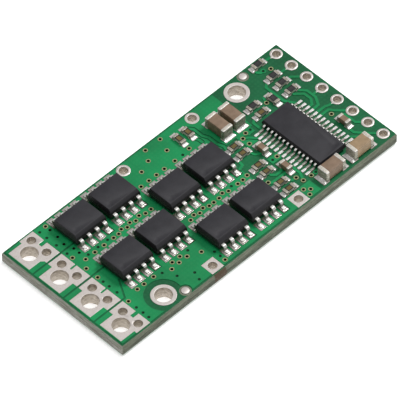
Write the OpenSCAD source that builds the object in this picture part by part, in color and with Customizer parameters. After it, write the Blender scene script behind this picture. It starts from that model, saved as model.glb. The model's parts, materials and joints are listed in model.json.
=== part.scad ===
// DC motor driver module: a scored circuit board with eight power transistors, a driver chip,
// ceramic capacitors and chip resistors, power pads at the left end and a header row at the right.
// X runs along the board, Y across it, and Z = 0 is the face of the lowest bottom pads.

/* [Board] */
// Grid that the header and power holes lie on
grid = 2.54; // [2.4:0.01:2.8]
// Thickness of the bare laminate
board_t = 1.6; // [0.8:0.1:2.4]
// Corner radius in plan
corner_r = 0.4; // [0.3:0.05:1]
// Depth of the scoring groove on each side
score_depth = 0.5; // [0.1:0.1:0.7]
// How far the groove sets the faces back from the edge
score_inset = 0.19; // [0.05:0.01:0.3]

/* [Copper and mask] */
// Thickness of the copper foil
foil_t = 0.07; // [0.03:0.01:0.1]
// Thickness of solder mask over bare laminate
mask_t = 0.03; // [0.02:0.01:0.05]
// Thickness of solder mask over copper
mask_over_foil = 0.025; // [0.01:0.005:0.04]
// How far the tinned pads stand above the mask
pad_proud = 0.015; // [0.005:0.005:0.05]
// Gap between a pad and the edge of its mask opening
mask_gap = 0.02; // [0.01:0.01:0.04]
// Copper pulled back from the board edge
copper_inset = 0.45; // [0.3:0.05:0.5]
// Gap between a trace and the pour around it
pour_gap = 0.2; // [0.1:0.02:0.24]
// Width of the signal traces
trace_w = 0.3; // [0.2:0.05:0.36]

/* [Power pads] */
// Diameter of the large plated hole
power_hole_d = 2.2; // [1.6:0.1:2.5]
// Diameter of the small plated holes
wire_hole_d = 1.15; // [0.8:0.05:1.3]
// Gap between neighbouring pads
power_gap = 0.28; // [0.2:0.02:0.5]
// How much narrower each pad is around its large hole
power_pad_step = 1.3; // [0.5:0.1:1.6]

/* [Header and mounting holes] */
// Number of header holes
header_n = 8; // [4:1:8]
// Diameter of the header holes
header_hole_d = 1.02; // [0.8:0.02:1.1]
// Width of the header rings
header_ring_w = 0.29; // [0.15:0.01:0.35]
// Diameter of the mounting holes
mount_hole_d = 2.2; // [1.8:0.1:2.6]
// Width of the mounting rings
mount_ring_w = 0.475; // [0.3:0.025:0.6]
// Distance of the mounting holes from the short edges
mount_inset_x = 8.89; // [8.6:0.01:9.2]
// Distance of the mounting holes from the long edges
mount_inset_y = 2.22; // [2.1:0.02:2.4]

/* [Vias] */
// Diameter of a via hole
via_hole_d = 0.38; // [0.3:0.02:0.42]
// Width of a via ring
via_ring_w = 0.12; // [0.1:0.01:0.15]

/* [Transistors] */
// Body width
fet_w = 4.0; // [3.4:0.05:4.5]
// Body length past the outer leads, at each end
fet_end = 0.335; // [0.2:0.005:0.6]
// Height of the body's top above its lands
fet_h = 1.6; // [1.3:0.05:1.9]
// How far the leads reach out of the body
fet_reach = 1.0; // [0.9:0.05:1.3]
// Lead pitch
fet_pitch = 1.27; // [1.15:0.01:1.5]
// Lead width
fet_lead_w = 0.42; // [0.35:0.01:0.5]
// Clear gap between neighbouring bodies
fet_gap = 0.65; // [0.5:0.05:1]
// Clear street between facing rows of lands
fet_street = 1.2; // [1.15:0.05:2]

/* [Driver chip] */
// Body width
driver_w = 4.4; // [4:0.05:5.2]
// Body length past the outer leads, at each end
driver_end = 0.5; // [0.3:0.05:0.8]
// Height of the body's top above its lands
driver_h = 1.0; // [0.9:0.05:1.3]
// How far the leads reach out of the body
driver_reach = 1.0; // [0.85:0.05:1.2]
// Lead pitch
driver_pitch = 0.65; // [0.6:0.01:0.8]
// Leads on each side
driver_n = 14; // [8:1:14]
// Lead width
driver_lead_w = 0.25; // [0.18:0.01:0.3]

/* [Chip capacitors and resistors] */
// Length of the large capacitors
bulk_l = 3.2; // [2.6:0.05:3.8]
// Width of the large capacitors
bulk_w = 1.6; // [1.3:0.05:1.9]
// Height of the large capacitors
bulk_h = 1.6; // [1:0.05:1.8]
// Length of the small chips
chip_l = 1.6; // [1.4:0.05:1.9]
// Width of the small chips
chip_w = 0.8; // [0.6:0.05:0.95]
// Height of the small capacitors
chip_cap_h = 0.8; // [0.5:0.05:0.9]
// Height of the chip resistors
chip_res_h = 0.45; // [0.35:0.05:0.6]
// Thickness of the metal on the chips' ends
end_t = 0.04; // [0.02:0.01:0.06]

/* [Hidden] */
$fn = 48;

// Sizes of the packages
fet_l = 3 * fet_pitch + fet_lead_w + 2 * fet_end;
fet_span = fet_w + 2 * fet_reach;
driver_l = (driver_n - 1) * driver_pitch + driver_lead_w + 2 * driver_end;
driver_span = driver_w + 2 * driver_reach;

// Heights of the layers
pad_t = foil_t + mask_over_foil + pad_proud;
lam_z0 = pad_t;
lam_z1 = lam_z0 + board_t;
land_z = lam_z1 + pad_t;
mask_top_t = foil_t + mask_over_foil;
plating = 0.05;
through = 0.5;

// Power pads, measured from the left edge and from each pad's own centre line
power_pitch = 2 * grid;
power_wing_h = power_pitch - power_gap;
power_pad_h = power_wing_h - power_pad_step;
power_x0 = 0.55;
power_x1 = 2.7;
power_hole_x = 2.26;
wire_step = 1.55;
wire_hole_x = power_hole_x + wire_step;
wire_margin = 1.09;
power_x2 = wire_hole_x + wire_margin;
power_edge_gap = 0.39;
slot_l = 0.9;
slot_w = [0.5, 0.25, 0.25, 0.5];
pad_chamfer = 0.35;
power_iso_l = 2.5;
power_iso_turn = 0.5;
power_iso_rise = 2.48;

// Header row, mounting holes, vias and capacitor pads
header_x = grid / 2;
header_ring_d = header_hole_d + 2 * header_ring_w;
header_tips = [1, 2, 4, 5];
header_tip = 0.25;
header_tip_w = 0.5;
mount_ring_d = mount_hole_d + 2 * mount_ring_w;
mount_clear = 0.82;
via_ring_d = via_hole_d + 2 * via_ring_w;
fiducial_r = 0.5;
fiducial_open_r = 0.75;
fiducial_clear_r = 0.9;
fiducial_left = [11.15, 0.9];
fiducial_right = [6.6, 0.95];
cap_pad_inset = 1.3;
cap_pad_r = 0.88;
cap_pad_side = 1.9;
cap_hole_r = 0.57;

// Transistors: two banks of two by two
fet_t = 0.2;
fet_standoff = 0.1;
fet_draft = 0.15;
fet_bevel = 0.32;
fet_dimple_r = 0.42;
fet_dimple = 0.06;
fet_dimple_x = 0.8;
fet_dimple_y = 0.95;
fet_bend = 0.12;
fet_leg = 0.2;
land_toe = 0.3;
land_l = 1.35;
land_w = 0.98;
gate_land_trim = 0.07;
fet_solder_side = 0.1;
gate_gap = 0.14;
power_lane = 1.96;
bank_gap = 0.74;
bank_far_gap = 0.49;
bank_near_gap = 0.93;
mount_lane = 5.43;
fet_step = [fet_l + fet_gap, fet_span + 2 * land_toe + fet_street];
bank_half = [(fet_step[0] + fet_l) / 2, (fet_step[1] + fet_span) / 2 + land_toe];
fet_signs = [[-1, 1], [1, 1], [-1, -1], [1, -1]];

// Driver chip
driver_t = 0.15;
driver_standoff = 0.1;
driver_draft = 0.15;
driver_bend = 0.1;
driver_leg = 0.14;
driver_dimple_r = 0.45;
driver_dimple_in = 0.9;
driver_toe = 0.75;
driver_land_w = 0.34;
driver_land_l = 1.4;
driver_solder_side = 0.03;

// Chips
bulk_end_l = 0.5;
bulk_round = 0.1;
bulk_toe = 0.5;
bulk_land_l = 1.0;
bulk_land_extra = 0.12;
bulk_solder_in = 0.05;
chip_end_l = 0.33;
chip_toe = 0.45;
chip_land_l = 0.85;
chip_land_extra = 0.06;
chip_solder_in = 0.03;
film_t = 0.04;

// Columns of the logic side, each measured from the right edge and built on the one before it
edge_column = 3.28;
edge_lane = 4.36;
driver_x = edge_lane + driver_toe + driver_span / 2;
bypass_lane = 0.92;
bypass_x = driver_x + driver_span / 2 + driver_toe + bypass_lane;
chip_lane = 0.47;
gate_column_x = bypass_x + chip_w / 2 + chip_lane + chip_toe + chip_l / 2;
bank_lane = 0.67;
logic_l = gate_column_x + chip_l / 2 + chip_toe + bank_lane;

// Rows of the logic side: large capacitors at the near edge, then the driver, then the resistors
bulk_near_gap = 0.63;
driver_lane = 0.42;
resistor_lane = 7.97;

// The board is as large as what it carries
board_l = power_x2 + power_lane + 4 * fet_l + 2 * fet_gap + bank_gap + logic_l;
bank_stack = 2 * bank_half[1] + bank_far_gap + mount_lane;
logic_stack = bulk_near_gap + bulk_w + driver_lane + driver_l + resistor_lane;
board_w = max(header_n * grid, bank_stack, logic_stack);
far = board_w / 2;
near = -board_w / 2;

bank_1 = [power_x2 + power_lane + bank_half[0], far - bank_far_gap - bank_half[1]];
bank_2 = [bank_1[0] + 2 * bank_half[0] + bank_gap, near + bank_near_gap + bank_half[1]];
driver_y = near + bulk_near_gap + bulk_w + driver_lane + driver_l / 2;
driver_top = driver_y + driver_l / 2;

// Large capacitors: [from the right edge, y, angle about Z]
bulk_upright_gap = 1.0;
bulk_upright_y = driver_top + bulk_upright_gap + bulk_toe + bulk_l / 2;
bulk_upright_x = [1.35, -0.78];
bulk_right_gap = 2.96;
bulk_flat_gap = 0.54;
bulk_flat_y = near + bulk_near_gap + bulk_w / 2;
bulk_4_x = bulk_right_gap + bulk_toe + bulk_l / 2;
bulk_3_x = bulk_4_x + bulk_l + 2 * bulk_toe + bulk_flat_gap;
bulk_places = concat(
    [for (x = bulk_upright_x) [bypass_x + x, bulk_upright_y, 90]],
    [[bulk_3_x, bulk_flat_y, 0], [bulk_4_x, bulk_flat_y, 0]]
);

// Small capacitors and the resistors in the gate lines: heights above the near edge
bypass_rows = [9.63, 5.66];
edge_cap_row = 5.76;
gate_rows = [12.16, 10.71, 8.11, 6.76, 4.41, 3.01];
gate_pair_x = [3.48, 4.93];
gate_pair_gap = 1.05;
// The other resistors: [from the driver's centre line or the right edge, below the far edge]
tan_single = [0.93, 6.71];
over_driver = [[0.93, 5.26, 0], [-1.61, 6.16, 90]];
edge_resistor_x = 4.18;
edge_resistor_rows = [1.06, 3.61, 5.11, 6.66];

// Vias in the street of each bank: x from the bank's centre, y from the street's middle
via_lane = 0.15;
street_1_bare = [
    [-5.8, -1], [-4.3, -1], [-2.8, -1], [-1.25, -1], [-0.4, -1], [0.3, 1], [1, -1],
    [1.7, 1], [2.4, -1], [3.2, 1], [4, -1], [4.9, -1]
];
street_1_covered = [[-5.1, 1], [-3.5, 1], [-1.95, 1]];
street_2_bare = [
    [-4.2, -1], [-3.4, 1], [-2.7, -1], [-1.9, 1], [-1.15, -1], [-0.4, -1], [0.5, -1],
    [1.3, 1], [2.05, -1], [3.6, -1], [4.45, -1], [5.3, 0]
];
street_2_covered = [[2.8, 1]];
// Vias below the first bank and above the second: x from its centre, y from its lands
below_1_bare = [
    [-4.75, 0.45], [-3.65, 0.45], [-2.1, 0.45], [0.95, 0.45], [2.2, 0.45],
    [0.2, 1.15], [1.5, 1.05], [2.8, 1.05], [4.47, 1.75]
];
below_1_covered = [[-1, 0.75], [3.5, 0.45], [-0.09, 2.3], [1.72, 3.4], [1.37, 4.5]];
above_2_bare = [
    [-4.7, 0.43], [-3.4, 0.43], [-2.15, 0.43], [-0.85, 0.43], [0.9, 0.43], [3.43, 0.6],
    [-0.41, 4.05], [2.03, 4.05], [-1.32, 2.65], [1.38, 2.25], [-3.07, 2.0]
];
above_2_covered = [[2.2, 0.43]];
// Vias between the banks: x from the second bank's left side, y from the near edge
between_bare = [[-0.4, 0.88]];
between_covered = [[-0.4, 2.63], [-0.4, 1.68]];
// Vias beside the power pads: [beyond the pads, y]
power_bare = [[1.55, 9.22], [0.45, 3.57], [0.45, 1.27], [0.45, -0.63], [0.45, -5.73]];
power_covered = [
    [0.45, 9.07], [1.55, 8.47], [0.45, 7.87], [1.45, 7.07], [0.45, 6.27], [1.2, 5.77],
    [0.45, 4.48], [1.55, 4.48], [1.55, 3.57], [0.45, -1.53], [0.45, -2.53], [0.45, -3.83],
    [0.45, -7.03], [0.45, -8.13], [0.45, -9.08]
];
// Vias left of the driver: [beyond the bypass column, above the near edge]
inner_bare = [
    [0.32, 12.48], [0.32, 11.38], [-0.53, 12.86], [-0.58, 7.68], [0.17, 3.78], [-0.13, 2.88],
    [0.87, 1.88], [0.22, 1.33], [0.87, 0.83], [3.02, 5.58]
];
inner_covered = [[-1.28, 12.86], [0.17, 7.68]];
// Vias above the third large capacitor: [beyond its centre, above its side]
bulk_via_gap = 0.53;
bulk_via_bare = 2.05;
bulk_via_covered = 1.3;
// Vias near the header: [from the right edge, below the far edge]
outer_bare = [[7.55, 5.89], [3.4, 2.49], [3.4, 12.59]];
outer_covered = [[4.3, 2.09]];

// Pour areas left of the driver: [beyond the bypass column, to, above the near edge, to]
pour_start = 3.92;
pour_end = 1.93;
pour_low_end = 1.22;
overlap = 0.1;
pour_patches = [
    [0.77, -0.73, 11.01, 13.26], [-0.63, -1.58, 12.36, 13.26],
    [0.57, -1.0, 7.21, 8.16], [1.32, -0.63, 0.46, 2.41]
];
pour_top = 13.16;
pour_low = 2.41;

// Signal traces near the header: [from the right edge, below the far edge]
outer_traces = [
    [[edge_resistor_x - 1, 1.11], [header_x, 1.27]],
    [[edge_resistor_x - 1, 3.71], [header_x, 3.81]],
    [[edge_resistor_x - 1, 4.96], [2.6, 5.06], [header_x, 6.35]],
    [[3.45, 6.76], [3.45, 7.16], [2.8, 7.96], [2.8, 9.36], [3.45, 10.45], [4.6, 10.54]],
    [[2.8, 8.86], [header_x, 8.89]],
    [[4.3, 7.21], [3.4, 8.06], [3.4, 9.16], [3.95, 9.89], [4.6, 9.89]],
    [[header_x, 11.43], [2.55, 11.41], [3.1, 11.19], [4.6, 11.19]],
    [[header_x, 13.97], [2.65, 12.51], [3.15, 11.84], [4.6, 11.84]],
    [[header_x, 16.51], [2.3, 15.46], [2.3, 13.76], [2.9, 13.46]],
    [[header_x, 19.05], [2.55, 17.66], [3.55, 16.46], [3.55, 15.56]],
    [[3.5, 17.46], [4.6, 16.4]],
    [[5.3, 3.71], [5.9, 4.16], [5.9, 7.06], [5.45, 7.86], [4.95, 8.6]],
    [[5, 1.26], [5, 1.76], [4.7, 2.09], [4.3, 2.09]],
    [[7.55, 5.89], [7.25, 5.11], [6.7, 5.11]]
];
// Signal traces left of the driver: [beyond the bypass column, above the near edge]
inner_traces = [
    [[-2.68, 13.61], [-2.28, 13.26], [-2.28, 11.75]],
    [[4.22, 18.46], [3.72, 18.16], [3.37, 17.66], [3.37, 16.26], [3.02, 15.46], [3.02, 14.06],
        [2.72, 13.26], [3.02, 12.16]],
    [[4.32, 16.56], [4.07, 16.06], [4.07, 15.56]],
    [[1.32, 10.66], [1.02, 9.76], [0.22, 9.26], [0.02, 8.76]],
    [[2.12, 6.76], [1.92, 6.16], [1.52, 5.76], [0.77, 5.76], [0.02, 6.36]],
    [[3.02, 5.58], [2.72, 5.26], [0.42, 5.21], [0.02, 4.76]],
    [[3.92, 9.41], [3.22, 9.66], [3.12, 10.56]],
    [[1.32, 4.41], [0.72, 3.86], [0.17, 3.78]],
    [[-0.13, 2.88], [-0.68, 3.96], [-0.68, 4.96], [-1.08, 5.22]],
    [[0.32, 12.48], [-0.28, 12.16], [-0.83, 11.51], [-1.13, 11.1]]
];

function from_left(d) = -board_l / 2 + d;
function from_right(d) = board_l / 2 - d;
function header_y(i) = (i - (header_n - 1) / 2) * grid;
function power_y(i) = (1.5 - i) * power_pitch;
function bank_at(b) = [from_left(b[0]), b[1]];
function on_street(b, list) = [for (p = list) bank_at(b) + [p[0], p[1] * via_lane]];
function below(b, list) = [for (p = list) bank_at(b) + [p[0], -bank_half[1] - p[1]]];
function above(b, list) = [for (p = list) bank_at(b) + [p[0], bank_half[1] + p[1]]];
function beside_power(list) = [for (p = list) [from_left(power_x2 + p[0]), p[1]]];
function inner(list) = [for (p = list) [from_right(bypass_x + p[0]), near + p[1]]];
function outer(list) = [for (p = list) [from_right(p[0]), far - p[1]]];

fet_places = [for (b = [bank_1, bank_2], s = fet_signs)
    bank_at(b) + [s[0] * fet_step[0] / 2, s[1] * fet_step[1] / 2]];
bank_2_left = from_left(bank_2[0] - bank_half[0]);
bank_1_right = from_left(bank_1[0] + bank_half[0]);
bulk_via_y = near + bulk_near_gap + bulk_w + bulk_via_gap;
bare_vias = concat(
    on_street(bank_1, street_1_bare), on_street(bank_2, street_2_bare),
    below(bank_1, below_1_bare), above(bank_2, above_2_bare),
    [for (p = between_bare) [bank_2_left + p[0], near + p[1]]],
    beside_power(power_bare), inner(inner_bare), outer(outer_bare),
    [[from_right(bulk_3_x + bulk_via_bare), bulk_via_y]]
);
covered_vias = concat(
    on_street(bank_1, street_1_covered), on_street(bank_2, street_2_covered),
    below(bank_1, below_1_covered), above(bank_2, above_2_covered),
    [for (p = between_covered) [bank_2_left + p[0], near + p[1]]],
    beside_power(power_covered), inner(inner_covered), outer(outer_covered),
    [[from_right(bulk_3_x + bulk_via_covered), bulk_via_y]]
);
traces = concat([for (t = outer_traces) outer(t)], [for (t = inner_traces) inner(t)]);
mount_places = [
    [from_left(mount_inset_x), near + mount_inset_y],
    [from_right(mount_inset_x), far - mount_inset_y]
];
fiducial_places = [
    [from_left(fiducial_left[0]), near + fiducial_left[1]],
    [from_right(fiducial_right[0]), far - fiducial_right[1]]
];
cap_pad_from_bank = 0.81;
cap_pad_before_bank = 1.31;
cap_pad_from_bypass = 2.29;
round_pads = [
    [bank_2_left + cap_pad_from_bank, far - cap_pad_inset],
    [from_right(bypass_x + cap_pad_from_bypass), far - cap_pad_inset]
];
square_pads = [
    [bank_1_right - cap_pad_before_bank, near + cap_pad_inset],
    [from_right(bypass_x + cap_pad_from_bypass), near + cap_pad_inset]
];
header_places = [for (i = [0:header_n - 1]) [from_right(header_x), header_y(i)]];
gate_pair_y = bank_at(bank_2)[1] + bank_half[1] + gate_pair_gap + chip_toe + chip_l / 2;
bulk_at = [for (p = bulk_places) [from_right(p[0]), p[1], p[2]]];
bypass_at = concat(
    [for (y = bypass_rows) [from_right(bypass_x), near + y, 90]],
    [[from_right(edge_column), near + edge_cap_row, 90]]
);
gate_at = concat(
    [for (x = gate_pair_x) [bank_at(bank_2)[0] + x, gate_pair_y, 90]],
    [for (y = gate_rows) [from_right(gate_column_x), near + y, 0]],
    [[from_right(driver_x + tan_single[0]), far - tan_single[1], 0]]
);
signal_at = concat(
    [for (p = over_driver) [from_right(driver_x + p[0]), far - p[1], p[2]]],
    [for (y = edge_resistor_rows) [from_right(edge_resistor_x), far - y, 0]]
);

// Plan shapes

// Rectangle between two corners, grown on every side
module area(x0, x1, y0, y1, grow = 0) {
    translate([x0 - grow, y0 - grow]) square([x1 - x0 + 2 * grow, y1 - y0 + 2 * grow]);
}

// Rectangle with round corners, centred
module round_rect(l, w, r) {
    square([l - 2 * r, w], center = true);
    square([l, w - 2 * r], center = true);
    for (x = [-1, 1], y = [-1, 1]) {
        translate([x * (l / 2 - r), y * (w / 2 - r)]) circle(r);
    }
}

module dots(places, r) {
    for (p = places) translate([p[0], p[1]]) circle(r);
}

// Line of constant width with round ends and corners
module track(points, w) {
    for (i = [0:len(points) - 2]) {
        a = points[i];
        d = points[i + 1] - a;
        translate(a) rotate(atan2(d[1], d[0])) translate([0, -w / 2]) square([norm(d), w]);
    }
    for (p = points) translate(p) circle(w / 2);
}

module traces_2d(grow) {
    for (t = traces) track(t, trace_w + 2 * grow);
}

// Plan of one power pad, with the mask slot between its two wire holes
module power_pad_2d(i, grow = 0) {
    y = power_y(i);
    top = min(y + power_wing_h / 2, far - power_edge_gap);
    low = max(y - power_wing_h / 2, near + power_edge_gap);
    difference() {
        union() {
            area(
                from_left(power_x0), from_left(power_x1),
                y - power_pad_h / 2, y + power_pad_h / 2, grow
            );
            area(from_left(power_x1), from_left(power_x2), low, top, grow);
            if (i == 0) {
                polygon([
                    [from_left(power_x1) - pad_chamfer - grow, y - power_pad_h / 2 - grow],
                    [from_left(power_x1), y - power_pad_h / 2 - pad_chamfer - grow],
                    [from_left(power_x1), y - power_pad_h / 2]
                ]);
            }
        }
        area(
            from_left(power_x2 - slot_l), from_left(power_x2 + slot_l),
            y - slot_w[i] / 2, y + slot_w[i] / 2, -grow
        );
    }
}

module power_holes_2d(i, extra = 0) {
    translate([from_left(power_hole_x), power_y(i)]) circle(power_hole_d / 2 + extra);
    for (s = [-1, 1]) {
        translate([from_left(wire_hole_x), power_y(i) + s * grid / 2]) circle(wire_hole_d / 2 + extra);
    }
}

// Header rings, some with a teardrop tip where a trace enters
module header_rings_2d(grow = 0) {
    r = header_ring_d / 2;
    dots(header_places, r + grow);
    for (i = header_tips) {
        k = header_n - i;
        if (k >= 0) {
            translate(header_places[k]) polygon([
                [-r - header_tip - grow, 0],
                [-r * 0.6, header_tip_w / 2 + grow],
                [-r * 0.6, -header_tip_w / 2 - grow]
            ]);
        }
    }
}

module square_pads_2d(grow = 0) {
    for (p = square_pads) {
        translate(p) square(cap_pad_side + 2 * grow, center = true);
    }
}

// One transistor land: i counts along the row, s is the side
module fet_land_2d(p, s, i, grow) {
    translate([p[0] + (i - 1.5) * fet_pitch, p[1] + s * (fet_span / 2 + land_toe - land_l / 2)]) {
        square([land_w + 2 * grow, land_l + 2 * grow], center = true);
    }
}

// The gate land is the last one of each lower row, a little smaller than the rest
module fet_lands_2d(grow = 0) {
    for (p = fet_places, s = [-1, 1], i = [0:3]) {
        fet_land_2d(p, s, i, s == -1 && i == 3 ? grow - gate_land_trim : grow);
    }
}

// Ring that isolates each gate land from the pour
module gate_clearance_2d(grow) {
    for (p = fet_places) fet_land_2d(p, -1, 3, gate_gap - gate_land_trim + grow);
}

module driver_lands_2d(grow = 0) {
    for (s = [-1, 1], i = [0:driver_n - 1]) {
        translate([
            from_right(driver_x) + s * (driver_span / 2 + driver_toe - driver_land_l / 2),
            driver_y + (i - (driver_n - 1) / 2) * driver_pitch
        ]) square([driver_land_l + 2 * grow, driver_land_w + 2 * grow], center = true);
    }
}

module land_pair_2d(l, w, toe, land_l, grow) {
    for (s = [-1, 1]) {
        translate([s * (l / 2 + toe - land_l / 2), 0]) {
            square([land_l + 2 * grow, w + 2 * grow], center = true);
        }
    }
}

module chip_lands_2d(grow = 0) {
    for (p = bulk_at) translate([p[0], p[1]]) rotate(p[2]) {
        land_pair_2d(bulk_l, bulk_w + bulk_land_extra, bulk_toe, bulk_land_l, grow);
    }
    for (p = concat(bypass_at, gate_at, signal_at)) translate([p[0], p[1]]) rotate(p[2]) {
        land_pair_2d(chip_l, chip_w + chip_land_extra, chip_toe, chip_land_l, grow);
    }
}

// Every plated through hole, with its wall added
module drill_2d(extra) {
    for (i = [0:3]) power_holes_2d(i, extra);
    dots(header_places, header_hole_d / 2 + extra);
    dots(mount_places, mount_hole_d / 2 + extra);
    dots(concat(round_pads, square_pads), cap_hole_r + extra);
    dots(concat(bare_vias, covered_vias), via_hole_d / 2 + extra);
}

// Pads that both faces of the board have
module shared_pads_2d(grow) {
    for (i = [0:3]) power_pad_2d(i, grow);
    header_rings_2d(grow);
    dots(mount_places, mount_ring_d / 2 + grow);
    dots(round_pads, cap_pad_r + grow);
    square_pads_2d(grow);
}

// Pads that only the top face has
module top_pads_2d(grow) {
    dots(bare_vias, via_ring_d / 2 + grow);
    dots(fiducial_places, fiducial_r + grow);
    fet_lands_2d(grow);
    driver_lands_2d(grow);
    chip_lands_2d(grow);
}

// Gaps that part the four power pours
module power_gaps_2d(grow) {
    w = power_gap - 2 * grow;
    x0 = from_left(0);
    for (y = [power_pitch, 0]) {
        area(x0, from_left(power_x2 + power_iso_l), y - w / 2, y + w / 2);
    }
    track([
        [x0, -power_pitch],
        [from_left(power_x2 + power_iso_turn), -power_pitch],
        [from_left(power_x2 + power_lane), power_iso_rise - power_pitch]
    ], w);
}

module edge_clearances_2d(grow) {
    dots(mount_places, mount_ring_d / 2 + mount_clear - grow);
}

module top_foil_2d(grow) {
    lim = far - copper_inset;
    main_x = from_right(bypass_x + pour_start);
    difference() {
        union() {
            area(from_left(copper_inset), main_x, -lim, lim, grow);
            area(main_x - overlap, from_right(bypass_x - pour_end), near + pour_top, lim, grow);
            area(main_x - overlap, from_right(bypass_x + pour_low_end), -lim, near + pour_low, grow);
            for (p = pour_patches) {
                area(
                    from_right(bypass_x + p[0]), from_right(bypass_x + p[1]),
                    near + p[2], near + p[3], grow
                );
            }
        }
        power_gaps_2d(grow);
        edge_clearances_2d(grow);
        dots(fiducial_places, fiducial_clear_r - grow);
        gate_clearance_2d(-grow);
        traces_2d(pour_gap - grow);
    }
    traces_2d(grow);
    dots(covered_vias, via_ring_d / 2 + grow);
}

module bottom_foil_2d(grow) {
    lim = far - copper_inset;
    difference() {
        area(from_left(copper_inset), from_right(header_x + header_ring_d), -lim, lim, grow);
        power_gaps_2d(grow);
        edge_clearances_2d(grow);
    }
}

// Layers of the board

module laminate() {
    x1 = board_l / 2;
    y1 = board_w / 2;
    color([0.43, 0.47, 0.38]) difference() {
        intersection() {
            translate([0, y1, lam_z0]) rotate([90, 0, 0]) linear_extrude(board_w) scored_edge(x1);
            translate([-x1, 0, lam_z0]) rotate([90, 0, 90]) linear_extrude(board_l) scored_edge(y1);
            translate([0, 0, lam_z0]) linear_extrude(board_t) round_rect(board_l, board_w, corner_r);
        }
        translate([0, 0, lam_z0 - through]) linear_extrude(board_t + 2 * through) drill_2d(plating);
    }
}

// Section of the board: full width in the middle, set back by the scoring at both faces
module scored_edge(half) {
    polygon([
        [-half + score_inset, 0], [half - score_inset, 0],
        [half, score_depth], [half, board_t - score_depth],
        [half - score_inset, board_t], [-half + score_inset, board_t],
        [-half, board_t - score_depth], [-half, score_depth]
    ]);
}

module face_outline() {
    round_rect(board_l - 2 * score_inset, board_w - 2 * score_inset, corner_r - score_inset);
}

module top_copper() {
    color([0.72, 0.45, 0.2]) translate([0, 0, lam_z1]) linear_extrude(foil_t) difference() {
        top_foil_2d(0);
        shared_pads_2d(mask_gap);
        top_pads_2d(mask_gap);
        dots(covered_vias, via_ring_d / 2);
    }
}

module bottom_copper() {
    color([0.72, 0.45, 0.2]) translate([0, 0, lam_z0 - foil_t]) linear_extrude(foil_t) difference() {
        bottom_foil_2d(0);
        shared_pads_2d(mask_gap);
        dots(concat(bare_vias, covered_vias), via_ring_d / 2);
    }
}

// Mask on the top face: it steps up over the copper and is open over the pads
module top_mask() {
    color([0.12, 0.55, 0.3]) translate([0, 0, lam_z1]) difference() {
        union() {
            linear_extrude(mask_t) face_outline();
            linear_extrude(mask_top_t) top_foil_2d(mask_over_foil);
        }
        translate([0, 0, -through]) linear_extrude(foil_t + through) top_foil_2d(0);
        translate([0, 0, -through]) linear_extrude(mask_top_t + 2 * through) {
            shared_pads_2d(mask_gap);
            top_pads_2d(mask_gap);
            dots(fiducial_places, fiducial_open_r);
            dots(covered_vias, via_hole_d / 2);
        }
    }
}

module bottom_mask() {
    color([0.12, 0.55, 0.3]) translate([0, 0, lam_z0]) mirror([0, 0, 1]) difference() {
        union() {
            linear_extrude(mask_t) face_outline();
            linear_extrude(mask_top_t) bottom_foil_2d(mask_over_foil);
        }
        translate([0, 0, -through]) linear_extrude(foil_t + through) bottom_foil_2d(0);
        translate([0, 0, -through]) linear_extrude(mask_top_t + 2 * through) {
            shared_pads_2d(mask_gap);
            dots(concat(bare_vias, covered_vias), via_hole_d / 2);
        }
    }
}

// Plated pads

module tinned() {
    color([0.8, 0.77, 0.74]) children();
}

module power_pad(i) {
    tinned() difference() {
        union() {
            translate([0, 0, lam_z1]) linear_extrude(pad_t) power_pad_2d(i);
            linear_extrude(pad_t) power_pad_2d(i);
            linear_extrude(land_z) power_holes_2d(i, plating);
        }
        translate([0, 0, -through]) linear_extrude(land_z + 2 * through) power_holes_2d(i);
    }
}

// Turned shape of a plated hole: two rings joined by the hole's wall
module eyelet(ring_r, hole_r, top_t, bottom_t) {
    wall_r = hole_r + plating;
    rotate_extrude() polygon([
        [hole_r, lam_z0 - bottom_t], [ring_r, lam_z0 - bottom_t], [ring_r, lam_z0],
        [wall_r, lam_z0], [wall_r, lam_z1], [ring_r, lam_z1],
        [ring_r, lam_z1 + top_t], [hole_r, lam_z1 + top_t]
    ]);
}

module header_pads() {
    tinned() difference() {
        union() {
            translate([0, 0, lam_z1]) linear_extrude(pad_t) header_rings_2d();
            linear_extrude(pad_t) dots(header_places, header_ring_d / 2);
            linear_extrude(land_z) dots(header_places, header_hole_d / 2 + plating);
        }
        translate([0, 0, -through]) linear_extrude(land_z + 2 * through) {
            dots(header_places, header_hole_d / 2);
        }
    }
}

module mounting_rings() {
    tinned() for (p = mount_places) {
        translate(p) eyelet(mount_ring_d / 2, mount_hole_d / 2, pad_t, pad_t);
    }
}

module capacitor_pads() {
    tinned() {
        for (p = round_pads) translate(p) eyelet(cap_pad_r, cap_hole_r, pad_t, pad_t);
        for (p = square_pads) translate(p) difference() {
            union() {
                for (z = [0, lam_z1]) translate([0, 0, z]) linear_extrude(pad_t) {
                    square(cap_pad_side, center = true);
                }
                cylinder(h = land_z, r = cap_hole_r + plating);
            }
            translate([0, 0, -through]) cylinder(h = land_z + 2 * through, r = cap_hole_r);
        }
    }
}

module vias() {
    tinned() {
        for (p = bare_vias) translate(p) eyelet(via_ring_d / 2, via_hole_d / 2, pad_t, foil_t);
        for (p = covered_vias) translate(p) eyelet(via_ring_d / 2, via_hole_d / 2, foil_t, foil_t);
    }
}

module on_top() {
    tinned() translate([0, 0, lam_z1]) linear_extrude(pad_t) children();
}

module fiducials() {
    on_top() dots(fiducial_places, fiducial_r);
}

module transistor_lands() {
    on_top() fet_lands_2d();
}

module driver_lands() {
    on_top() driver_lands_2d();
}

module chip_lands() {
    on_top() chip_lands_2d();
}

// Moulded packages and their leads

// Half section of a moulded body: drafted walls that meet in a flat band at the leads
module moulded_section(half, bottom, top, lead_z, lead_t, draft, bevel) {
    polygon([
        [-half + draft, bottom], [half - draft, bottom],
        [half, lead_z - lead_t / 2], [half, lead_z + lead_t / 2],
        [half - draft, top], [-half + draft + bevel, top],
        [-half + draft / 2, top - bevel - draft / 2], [-half, lead_z + lead_t / 2],
        [-half, lead_z - lead_t / 2]
    ]);
}

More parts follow.
